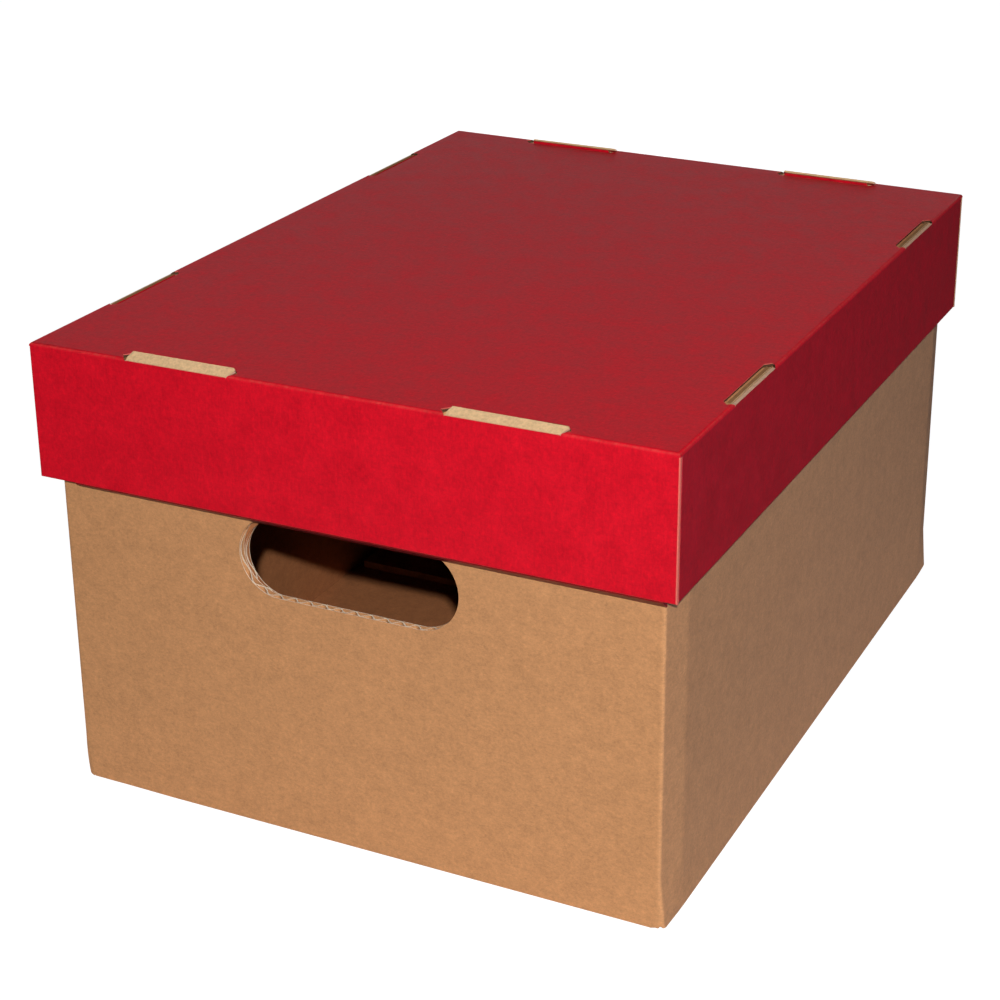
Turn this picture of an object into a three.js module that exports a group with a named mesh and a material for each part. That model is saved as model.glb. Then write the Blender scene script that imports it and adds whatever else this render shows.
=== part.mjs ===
import * as THREE from 'three';

// Storage box folded from corrugated cardboard, with a lid that lifts straight off.
// Millimetres. X runs to the right, Y to the back and Z up. The origin is on the ground
// below the middle of the box, and the end at -Y is the front.

// Closed box
const lidWidth = 320;
const lidLength = 424;
const closedHeight = 230;
const foldGap = 0.3; // between two boards that lie on each other

// Lid board, its walls and hems
const lidBoard = 1.8;
const lidWallHeight = 67;
const endHemDrop = 4; // how far the hem's inner crease hangs below its outer one
const sideHemDrop = 2;
const lidEndInnerInset = 13; // from the lid's side face to the end of an end's inner wall
const lidFrontInnerShift = 6.5; // the front inner wall lies this far to the right
const lidSideInnerInset = 12; // from the lid's end face to the end of a side's inner wall
const lidCornerFlapLength = 44;
const lidCornerFlapRise = 2; // from the bottom of the lid up to the flap

// Notches along the edges of the lid's top, and the tabs that lock in them
const notchDepth = 8.2;
const notchTipDepth = 4;
const notchBevel = 3.5;
const endNotchInset = 79; // from the lid's side face to the middle of a notch
const endNotchLength = 59;
const sideNotchInset = 87; // from the lid's end face to the middle of a notch
const sideNotchLength = 57;
const notchEdgeSink = 1; // the outer wall's cut edge lies this far below the lid's top
const endTabLength = 52.5;
const endTabShift = 1.25; // to the right
const endTabRise = 2.3;
const sideTabLength = 51;
const sideTabShift = 1; // to the front
const sideTabSink = 0.3;

// Body board, and its play inside the lid
const bodyBoard = 4;
const sidePlay = 0.5;
const endPlay = 0.5;
const cornerStrip = 19; // the side walls turn inwards this far from their ends
const cornerTuck = 3.1; // and reach the corner crease this far inside their plane
const cornerNotch = 3;

// Inner walls and glue flap of the body
const endInnerInset = 11.5;
const glueFlapWidth = 32;
const glueFlapClearance = 3;

// Hand holes
const handHoleLength = 112;
const handHoleHeight = 40;
const handHoleCentre = 142.3;
const innerHoleDrop = 2.8;

// Base flaps
const baseSeam = 1;
const sideFlapShoulder = 35.5; // from the end of the body to where the flap narrows
const tongueEndInset = 7.5;
const tongueTaper = 1;
const tongueRoom = 0.5;
const endFlapInset = 13;
const endFlapReach = 150;
const endFlapLevelRun = 13;
const endFlapRiseRun = 16;

// Sizes that follow from those above
const lidHalfWidth = lidWidth / 2;
const lidHalfLength = lidLength / 2;
const lidLayer = lidBoard + foldGap;
const lidSideStack = lidLayer + lidBoard; // outer and inner wall
const lidEndStack = 2 * lidLayer + lidBoard; // the same, with a corner flap between them
const lidBottom = closedHeight - lidWallHeight;
const endNotchMiddle = lidHalfWidth - endNotchInset;
const sideNotchMiddle = lidHalfLength - sideNotchInset;
const lidSideInnerHalf = lidHalfLength - lidSideInnerInset;
const lidTopUnderside = closedHeight - lidBoard;
const lidWallTop = lidTopUnderside - foldGap;
const bodyHalfWidth = lidHalfWidth - lidSideStack - sidePlay;
const bodyHalfLength = lidHalfLength - lidEndStack - endPlay;
const bodyHeight = lidTopUnderside - foldGap;
const bodyLayer = bodyBoard + foldGap;
const bodyWallStack = bodyLayer + bodyBoard;
const rimBottom = bodyHeight - bodyBoard;
const innerWallTop = rimBottom - foldGap;
const straightHalf = bodyHalfLength - cornerStrip;
const sideWallEnd = bodyHalfLength - bodyLayer;
const endInnerHalfWidth = bodyHalfWidth - endInnerInset;
const sideInnerHalfLength = straightHalf - foldGap;
const endFlapHalfWidth = bodyHalfWidth - endFlapInset;

// The two ends and the two sides, with the sign of the axis that they face
const ends = [['front', -1], ['back', 1]];
const sides = [['left', -1], ['right', 1]];

// Boards
const kraft = new THREE.MeshStandardMaterial({ color: 0xc29766, roughness: 0.9, metalness: 0 });
const redPrint = new THREE.MeshStandardMaterial({ color: 0xb01428, roughness: 0.55, metalness: 0 });

// Drawing and folding helpers
function outline(points) {
  return new THREE.Shape(points.map(([across, up]) => new THREE.Vector2(across, up)));
}

function rectangle(left, right, low, high) {
  return outline([[left, low], [right, low], [right, high], [left, high]]);
}

// A rectangle whose upper edge carries teeth, each with a centre, a half length and a top
function comb(left, right, low, high, teeth) {
  const points = [[left, low], [right, low], [right, high]];
  for (const { centre, half, top } of [...teeth].reverse()) {
    points.push([centre + half, high], [centre + half, top]);
    points.push([centre - half, top], [centre - half, high]);
  }
  points.push([left, high]);
  return outline(points);
}

function sheet(name, shape, depth, material) {
  const geometry = new THREE.ExtrudeGeometry(shape, { depth, bevelEnabled: false, curveSegments: 16 });
  const mesh = new THREE.Mesh(geometry, material);
  mesh.name = name;
  return mesh;
}

// Shape drawn on X and Y, thick along Z from low
function lying(name, shape, low, depth, material) {
  const mesh = sheet(name, shape, depth, material);
  mesh.position.z = low;
  return mesh;
}

// Shape drawn on X and Z, thick along Y from low
function acrossLength(name, shape, low, depth, material) {
  const mesh = sheet(name, shape, depth, material);
  mesh.rotation.x = Math.PI / 2;
  mesh.position.y = low + depth;
  return mesh;
}

// Shape drawn on Y and Z, thick along X from low
function acrossWidth(name, shape, low, depth, material) {
  const mesh = sheet(name, shape, depth, material);
  mesh.rotation.set(Math.PI / 2, Math.PI / 2, 0);
  mesh.position.x = low;
  return mesh;
}

// Low face of a board whose outer face lies this far from the middle
function lowFace(sign, outerFace, board) {
  return sign > 0 ? outerFace - board : -outerFace;
}

// How far the side walls have turned inwards at a distance from the middle
function turnedIn(distance) {
  return cornerTuck * Math.max(0, distance - straightHalf) / cornerStrip;
}

// Hand hole, a slot with round ends
function handHole(centreHeight) {
  const radius = handHoleHeight / 2;
  const reach = handHoleLength / 2 - radius;
  const hole = new THREE.Path();
  hole.absarc(reach, centreHeight, radius, -Math.PI / 2, Math.PI / 2);
  hole.absarc(-reach, centreHeight, radius, Math.PI / 2, 3 * Math.PI / 2);
  return hole;
}

// Front and back wall of the body, nicked at the lower corners where the flaps part
function bodyEndWall(name, sign) {
  const half = bodyHalfWidth - cornerTuck;
  const shape = outline([
    [-half + cornerNotch, 0],
    [half - cornerNotch, 0],
    [half, cornerNotch],
    [half, bodyHeight],
    [-half, bodyHeight],
    [-half, cornerNotch],
  ]);
  shape.holes.push(handHole(handHoleCentre));
  return acrossLength(`body_${name}_wall`, shape, lowFace(sign, bodyHalfLength, bodyBoard), bodyBoard, kraft);
}

// Left and right wall of the body, turned inwards at both ends
function bodySideWall(name, sign) {
  const outer = [-sideWallEnd, -straightHalf, straightHalf, sideWallEnd];
  const face = (inset) => outer.map((y) => [sign * (bodyHalfWidth - turnedIn(Math.abs(y)) - inset), y]);
  const shape = outline([...face(0), ...face(bodyBoard).reverse()]);
  return lying(`body_${name}_wall`, shape, 0, bodyHeight, kraft);
}

// Flap from the back wall, glued inside the left wall
function glueFlap() {
  const free = sideWallEnd - glueFlapWidth;
  const stations = [free, straightHalf, sideWallEnd - foldGap];
  const face = (inset) => stations.map((y) => [-(bodyHalfWidth - turnedIn(y) - inset), y]);
  const shape = outline([...face(bodyLayer), ...face(bodyWallStack).reverse()]);
  return lying('body_glue_flap', shape, bodyLayer, innerWallTop - bodyLayer, kraft);
}

// Inner walls that hang down from the rim, and the rim strips above them
function bodyEndInner(name, sign) {
  const shape = rectangle(-endInnerHalfWidth, endInnerHalfWidth, bodyLayer, innerWallTop);
  shape.holes.push(handHole(handHoleCentre - innerHoleDrop));
  const low = lowFace(sign, bodyHalfLength - bodyLayer, bodyBoard);
  return acrossLength(`body_${name}_inner_wall`, shape, low, bodyBoard, kraft);
}

function bodyEndRim(name, sign) {
  const shape = rectangle(-endInnerHalfWidth, endInnerHalfWidth, rimBottom, bodyHeight);
  const low = lowFace(sign, bodyHalfLength - bodyLayer, bodyBoard);
  return acrossLength(`body_${name}_rim`, shape, low, bodyBoard, kraft);
}

// The left inner wall stops short of the glue flap
function sideInnerSpan(sign) {
  const back = sign > 0 ? sideInnerHalfLength : sideWallEnd - glueFlapWidth - glueFlapClearance;
  return [-sideInnerHalfLength, back];
}

function bodySideInner(name, sign) {
  const [front, back] = sideInnerSpan(sign);
  const shape = rectangle(front, back, bodyLayer, innerWallTop);
  const low = lowFace(sign, bodyHalfWidth - bodyLayer, bodyBoard);
  return acrossWidth(`body_${name}_inner_wall`, shape, low, bodyBoard, kraft);
}

function bodySideRim(name, sign) {
  const [front, back] = sideInnerSpan(sign);
  const shape = rectangle(front, back, rimBottom, bodyHeight);
  const low = lowFace(sign, bodyHalfWidth - bodyLayer, bodyBoard);
  return acrossWidth(`body_${name}_rim`, shape, low, bodyBoard, kraft);
}

// Outer base flaps, hinged on the side walls, with a tongue into each corner
function sideBaseFlap(name, sign) {
  const shoulder = bodyHalfLength - sideFlapShoulder;
  const tongueEnd = bodyHalfLength - tongueEndInset;
  const tongueInner = endFlapHalfWidth + tongueRoom;
  const hinge = bodyHalfWidth - bodyLayer;
  const half = [
    [baseSeam / 2, shoulder],
    [tongueInner, shoulder],
    [tongueInner + tongueTaper, tongueEnd],
    [hinge - turnedIn(tongueEnd), tongueEnd],
    [hinge, straightHalf],
  ];
  const back = half.map(([x, y]) => [sign * x, y]);
  const front = half.map(([x, y]) => [sign * x, -y]).reverse();
  return lying(`base_${name}_flap`, outline([...back, ...front]), 0, bodyBoard, kraft);
}

// Inner base flaps, hinged on the end walls, which step up onto the outer ones
function endBaseFlap(name, sign) {
  const hinge = bodyHalfLength - bodyLayer;
  const lower = [
    [hinge, 0],
    [hinge - endFlapLevelRun, 0],
    [hinge - endFlapLevelRun - endFlapRiseRun, bodyLayer],
    [hinge - endFlapReach, bodyLayer],
  ];
  const upper = lower.map(([y, z]) => [y, z + bodyBoard]).reverse();
  const shape = outline([...lower, ...upper].map(([y, z]) => [sign * y, z]));
  return acrossWidth(`base_${name}_flap`, shape, -endFlapHalfWidth, 2 * endFlapHalfWidth, kraft);
}

// One notch in an edge of the lid's top: distance along the edge, and distance in from it
function notch(centre, length) {
  const tip = length / 2;
  const shoulder = tip - notchBevel;
  return [
    [centre - shoulder, 0],
    [centre - tip, notchTipDepth],
    [centre - shoulder, notchDepth],
    [centre + shoulder, notchDepth],
    [centre + tip, notchTipDepth],
    [centre + shoulder, 0],
  ];
}

function notchPair(middle, length) {
  return [...notch(-middle, length), ...notch(middle, length)];
}

function lidTop() {
  const endEdge = [[-lidHalfWidth, 0], ...notchPair(endNotchMiddle, endNotchLength)];
  const sideEdge = [[-lidHalfLength, 0], ...notchPair(sideNotchMiddle, sideNotchLength)];
  const shape = outline([
    ...endEdge.map(([along, inwards]) => [along, inwards - lidHalfLength]),
    ...sideEdge.map(([along, inwards]) => [lidHalfWidth - inwards, along]),
    ...endEdge.map(([along, inwards]) => [-along, lidHalfLength - inwards]),
    ...sideEdge.map(([along, inwards]) => [inwards - lidHalfWidth, -along]),
  ]);
  return lying('lid_top', shape, lidTopUnderside, lidBoard, redPrint);
}

function teethAt(middle, shift, half, top) {
  return [-1, 1].map((sign) => ({ centre: sign * middle + shift, half, top }));
}

// Outer walls of the lid, whose upper edge rises into the notches
function lidEndWall(name, sign) {
  const half = endNotchLength / 2 - notchBevel - foldGap;
  const teeth = teethAt(endNotchMiddle, 0, half, closedHeight - notchEdgeSink);
  const shape = comb(-lidHalfWidth, lidHalfWidth, lidBottom, lidWallTop, teeth);
  return acrossLength(`lid_${name}_wall`, shape, lowFace(sign, lidHalfLength, lidBoard), lidBoard, redPrint);
}

function lidSideWall(name, sign) {
  const half = sideNotchLength / 2 - notchBevel - foldGap;
  const teeth = teethAt(sideNotchMiddle, 0, half, closedHeight - notchEdgeSink);
  const end = lidHalfLength - lidLayer;
  const shape = comb(-end, end, lidBottom, lidWallTop, teeth);
  return acrossWidth(`lid_${name}_wall`, shape, lowFace(sign, lidHalfWidth, lidBoard), lidBoard, redPrint);
}

// Height of the hem's lower face at a distance in from the lid's outer face
function hemHeight(drop, inwards, stack) {
  return lidBottom - drop * inwards / stack;
}

function innerWallBottom(drop, stack) {
  return hemHeight(drop, stack - lidBoard, stack) + lidBoard + foldGap;
}

// Inner walls of the lid, with the tabs that stand in the notches
function endInnerSpan(name) {
  const shift = name === 'front' ? lidFrontInnerShift : 0;
  const half = lidHalfWidth - lidEndInnerInset;
  return [shift - half, shift + half];
}

function lidEndInner(name, sign) {
  const [left, right] = endInnerSpan(name);
  const teeth = teethAt(endNotchMiddle, endTabShift, endTabLength / 2, closedHeight + endTabRise);
  const shape = comb(left, right, innerWallBottom(endHemDrop, lidEndStack), lidWallTop, teeth);
  const low = lowFace(sign, lidHalfLength - lidEndStack + lidBoard, lidBoard);
  return acrossLength(`lid_${name}_inner_wall`, shape, low, lidBoard, redPrint);
}

function lidSideInner(name, sign) {
  const teeth = teethAt(sideNotchMiddle, -sideTabShift, sideTabLength / 2, closedHeight - sideTabSink);
  const bottom = innerWallBottom(sideHemDrop, lidSideStack);
  const shape = comb(-lidSideInnerHalf, lidSideInnerHalf, bottom, lidWallTop, teeth);
  const low = lowFace(sign, lidHalfWidth - lidSideStack + lidBoard, lidBoard);
  return acrossWidth(`lid_${name}_inner_wall`, shape, low, lidBoard, redPrint);
}

// Section of a hem between the outer wall and the inner wall's far face
function hemSection(sign, outerFace, drop, stack) {
  const corners = [
    [lidLayer, 0],
    [stack, 0],
    [stack, lidBoard],
    [lidLayer, lidBoard],
  ];
  return outline(corners.map(([inwards, up]) => [
    sign * (outerFace - inwards),
    hemHeight(drop, inwards, stack) + up,
  ]));
}

function lidEndHem(name, sign) {
  const [left, right] = endInnerSpan(name);
  const shape = hemSection(sign, lidHalfLength, endHemDrop, lidEndStack);
  return acrossWidth(`lid_${name}_hem`, shape, left, right - left, redPrint);
}

function lidSideHem(name, sign) {
  const shape = hemSection(sign, lidHalfWidth, sideHemDrop, lidSideStack);
  return acrossLength(`lid_${name}_hem`, shape, -lidSideInnerHalf, 2 * lidSideInnerHalf, redPrint);
}

// Corner flaps, folded from the side walls to lie inside the end walls
function lidCornerFlap(endName, endSign, sideName, sideSign) {
  const outer = sideSign * (lidHalfWidth - lidLayer);
  const inner = outer - sideSign * lidCornerFlapLength;
  const low = lidBottom + lidCornerFlapRise;
  const shape = rectangle(Math.min(outer, inner), Math.max(outer, inner), low, lidWallTop);
  const face = lowFace(endSign, lidHalfLength - lidLayer, lidBoard);
  return acrossLength(`lid_${endName}_${sideName}_corner_flap`, shape, face, lidBoard, redPrint);
}

const body = new THREE.Group();
for (const [name, sign] of ends) {
  body.add(bodyEndWall(name, sign));
  body.add(bodyEndInner(name, sign));
  body.add(bodyEndRim(name, sign));
  body.add(endBaseFlap(name, sign));
}
for (const [name, sign] of sides) {
  body.add(bodySideWall(name, sign));
  body.add(bodySideInner(name, sign));
  body.add(bodySideRim(name, sign));
  body.add(sideBaseFlap(name, sign));
}
body.add(glueFlap());

const lid = new THREE.Group();
lid.add(lidTop());
for (const [name, sign] of ends) {
  lid.add(lidEndWall(name, sign));
  lid.add(lidEndInner(name, sign));
  lid.add(lidEndHem(name, sign));
  for (const [sideName, sideSign] of sides) {
    lid.add(lidCornerFlap(name, sign, sideName, sideSign));
  }
}
for (const [name, sign] of sides) {
  lid.add(lidSideWall(name, sign));
  lid.add(lidSideInner(name, sign));
  lid.add(lidSideHem(name, sign));
}

const storageBox = new THREE.Group();
storageBox.add(body, lid);

export default storageBox;
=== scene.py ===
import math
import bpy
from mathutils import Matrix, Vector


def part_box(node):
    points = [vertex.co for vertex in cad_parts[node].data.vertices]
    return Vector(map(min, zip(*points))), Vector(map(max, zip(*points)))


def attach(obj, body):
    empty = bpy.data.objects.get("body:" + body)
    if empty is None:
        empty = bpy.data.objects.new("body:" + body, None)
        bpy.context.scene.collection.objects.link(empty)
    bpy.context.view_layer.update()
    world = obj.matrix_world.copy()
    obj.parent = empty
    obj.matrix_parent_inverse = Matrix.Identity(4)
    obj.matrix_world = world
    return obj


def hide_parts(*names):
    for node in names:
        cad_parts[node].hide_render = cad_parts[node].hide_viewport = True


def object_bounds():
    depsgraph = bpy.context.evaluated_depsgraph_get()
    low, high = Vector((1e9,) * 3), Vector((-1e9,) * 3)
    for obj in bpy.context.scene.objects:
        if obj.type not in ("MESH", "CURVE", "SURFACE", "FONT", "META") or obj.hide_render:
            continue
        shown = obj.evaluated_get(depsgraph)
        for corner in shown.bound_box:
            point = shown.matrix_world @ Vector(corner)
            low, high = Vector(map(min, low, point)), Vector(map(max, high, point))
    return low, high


bl_info = {
    "name": "Cardboard storage box",
    "version": (1, 0, 0),
    "blender": (4, 5, 0),
    "location": "View3D > Sidebar > Storage box",
    "description": "Corrugated body with hand holes and a printed lid that lifts off",
    "category": "Object",
}

import bmesh
import bpy
from bpy.props import FloatProperty, FloatVectorProperty, PointerProperty
from bpy.types import Operator, Panel, PropertyGroup
from mathutils import Vector

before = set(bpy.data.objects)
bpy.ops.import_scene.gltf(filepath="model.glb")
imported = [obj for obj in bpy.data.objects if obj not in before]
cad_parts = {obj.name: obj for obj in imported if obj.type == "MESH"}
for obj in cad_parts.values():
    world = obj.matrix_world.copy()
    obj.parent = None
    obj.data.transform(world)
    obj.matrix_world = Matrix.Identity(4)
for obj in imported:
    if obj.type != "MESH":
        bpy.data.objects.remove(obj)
cad_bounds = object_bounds()

# The frame's own sizes, in metres, that the pieces take theirs from
END_WALL_LOW, END_WALL_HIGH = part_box("body_back_wall")
SIDE_WALL_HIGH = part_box("body_right_wall")[1]
END_INNER_LOW, END_INNER_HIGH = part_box("body_back_inner_wall")
SIDE_INNER_LOW, SIDE_INNER_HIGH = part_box("body_right_inner_wall")
LEFT_INNER_LOW, LEFT_INNER_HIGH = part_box("body_left_inner_wall")
GLUE_LOW, GLUE_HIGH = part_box("body_glue_flap")
SIDE_FLAP_LOW, SIDE_FLAP_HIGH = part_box("base_right_flap")
END_FLAP_LOW, END_FLAP_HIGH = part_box("base_back_flap")
LID_LOW, LID_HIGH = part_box("lid_top")
LID_WALL_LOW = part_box("lid_back_wall")[0]
LID_SIDE_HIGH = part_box("lid_right_wall")[1]
LID_END_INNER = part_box("lid_back_inner_wall")
LID_FRONT_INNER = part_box("lid_front_inner_wall")
LID_SIDE_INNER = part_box("lid_right_inner_wall")

BODY_BOARD = END_WALL_HIGH.y - END_WALL_LOW.y
BODY_HALF_LENGTH = END_WALL_HIGH.y
BODY_HALF_WIDTH = SIDE_WALL_HIGH.x
BODY_TOP = END_WALL_HIGH.z
INNER_DEPTH = BODY_HALF_LENGTH - END_INNER_HIGH.y
LID_BOARD = LID_HIGH.z - LID_LOW.z
LID_HALF_WIDTH = LID_HIGH.x
LID_HALF_LENGTH = LID_HIGH.y
LID_TOP = LID_HIGH.z
LID_BOTTOM = LID_WALL_LOW.z

# The strip between the corner crease and the soft bend where a side wall turns inwards
CORNER_X = END_WALL_HIGH.x
BEND_Y = SIDE_INNER_HIGH.y
STRIP = Vector((BODY_HALF_WIDTH - CORNER_X, BODY_HALF_LENGTH - BEND_Y))
STRIP_SLANT = (BODY_HALF_WIDTH - CORNER_X) / (BODY_HALF_LENGTH - BEND_Y)
CORNER_TURN = math.atan2(STRIP.y, STRIP.x)

# The walls of the body and of the lid: name, kind, and the sign of the way that each one faces
ENDS = (("front", -1), ("back", 1))
SIDES = (("left", -1), ("right", 1))
WALLS = [(name, "end", sign) for name, sign in ENDS] + [(name, "side", sign) for name, sign in SIDES]

# By kind of wall: the axis it runs along, how far the body's and the lid's faces lie from the middle, and how
# far in from the lid's face its inner wall starts
RUN_AXIS = {"end": 0, "side": 1}
BODY_HALVES = {"end": BODY_HALF_LENGTH, "side": BODY_HALF_WIDTH}
LID_HALVES = {"end": LID_HALF_LENGTH, "side": LID_HALF_WIDTH}
LID_INNER_DEPTHS = {"end": LID_HALF_LENGTH - LID_END_INNER[1].y, "side": LID_HALF_WIDTH - LID_SIDE_INNER[1].x}

# By name of wall: where the body's inner wall starts and ends, and the box of the lid's inner wall
END_SPAN = (END_INNER_LOW.x, END_INNER_HIGH.x)
INNER_SPANS = {"front": END_SPAN, "back": END_SPAN, "left": (LEFT_INNER_LOW.y, LEFT_INNER_HIGH.y),
               "right": (SIDE_INNER_LOW.y, SIDE_INNER_HIGH.y)}
LID_INNER = {"front": LID_FRONT_INNER, "back": LID_END_INNER, "left": LID_SIDE_INNER, "right": LID_SIDE_INNER}

# Steps round a fold, the lid's corners, a crease's arc, a hand hole's end, and in one wave of the fluting
FOLD_STEPS, CORNER_STEPS, CREASE_STEPS, HOLE_STEPS, WAVE_STEPS = 6, 5, 8, 16, 14
# Steps along an end wall and a side wall where a corner can be pressed in, and along a rim and a hem
END_PRESS_STEPS, SIDE_PRESS_STEPS, RIM_STEPS, HEM_STEPS = 24, 40, 12, 10
# A fold that turns more than this is sharp
SHARP_ANGLE = math.radians(32)
# Lengths that count as none: between two points, between stations of a board, and along a path
SAME, HAIR, TRACE = 1e-6, 1e-7, 1e-9
# Parts of a face's normal along an axis, from which the face looks that way, is turned to it, or leans to it
LOOKS, TURNED, LEANS = 0.5, 0.2, 0.05
# From this share of the half width or length on, a face of the lid's top is at its rim
AT_RIM = 1 - 1e-4


class StorageBoxBody(PropertyGroup):
    flute_pitch: FloatProperty(
        name="Flute pitch", description="Distance from wave to wave in the body's board",
        default=0.0079, unit="LENGTH")
    liner: FloatProperty(
        name="Liner", description="Thickness of the board's two faces", default=0.00035, unit="LENGTH")
    medium: FloatProperty(
        name="Fluting", description="Thickness of the wavy paper between the faces",
        default=0.00062, unit="LENGTH")
    crease_radius: FloatProperty(
        name="Corner radius", description="Outer radius of the upright corner creases",
        default=0.0022, unit="LENGTH")
    bend_radius: FloatProperty(
        name="Bend radius", description="Radius of the soft bend where a side wall turns inwards",
        default=0.028, unit="LENGTH")
    foot_radius: FloatProperty(
        name="Foot radius", description="Outer radius of the creases along the ground",
        default=0.0013, unit="LENGTH")
    rim_radius: FloatProperty(
        name="Rim radius", description="Outer radius of the creases along the rim",
        default=0.003, unit="LENGTH")
    nick_height: FloatProperty(
        name="Nick height", description="How far the board ends above the ground at a corner",
        default=0.0014, unit="LENGTH")
    nick_reach: FloatProperty(
        name="Nick reach", description="How far the nick reaches from the corner",
        default=0.0028, unit="LENGTH")
    pressed_height: FloatProperty(
        name="Pressed height", description="How high up a knocked lower corner is pressed in",
        default=0.024, unit="LENGTH")
    pressed_depth: FloatProperty(
        name="Pressed depth", description="How far the front left lower corner is pressed in",
        default=0.0020, unit="LENGTH")
    splay_height: FloatProperty(
        name="Splay height", description="Height below which the walls' corners turn in less",
        default=0.024, unit="LENGTH")
    splay_start: FloatProperty(
        name="Splay start", description="How far from the crease the walls are straightened in full",
        default=0.003, unit="LENGTH")
    splay_share: FloatProperty(
        name="Splay", default=0.8,
        description="Share of the turn at the corners that is missing at the ground")
    wind: FloatProperty(
        name="Wind", description="How far the corners of the lid lie above or below level",
        default=0.0011, unit="LENGTH")
    hole_length: FloatProperty(
        name="Hole length", description="Length of a hand hole", default=0.112, unit="LENGTH")
    hole_height: FloatProperty(
        name="Hole height", description="Height of a hand hole", default=0.040, unit="LENGTH")
    hole_centre: FloatProperty(
        name="Hole centre", description="Height of the middle of a hand hole",
        default=0.1423, unit="LENGTH")
    inner_hole_drop: FloatProperty(
        name="Inner hole drop", description="How far the inner wall's hole lies lower",
        default=0.0028, unit="LENGTH")
    kraft: FloatVectorProperty(
        name="Kraft", description="Colour of the unprinted board", subtype="COLOR",
        min=0, max=1, default=(0.530, 0.255, 0.108))
    inside: FloatVectorProperty(
        name="Inside", description="Colour of the board's inner face", subtype="COLOR",
        min=0, max=1, default=(0.37, 0.138, 0.050))
    cut_paper: FloatVectorProperty(
        name="Cut paper", description="Colour of the cut paper round a hand hole", subtype="COLOR",
        min=0, max=1, default=(0.88, 0.72, 0.55))


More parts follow.
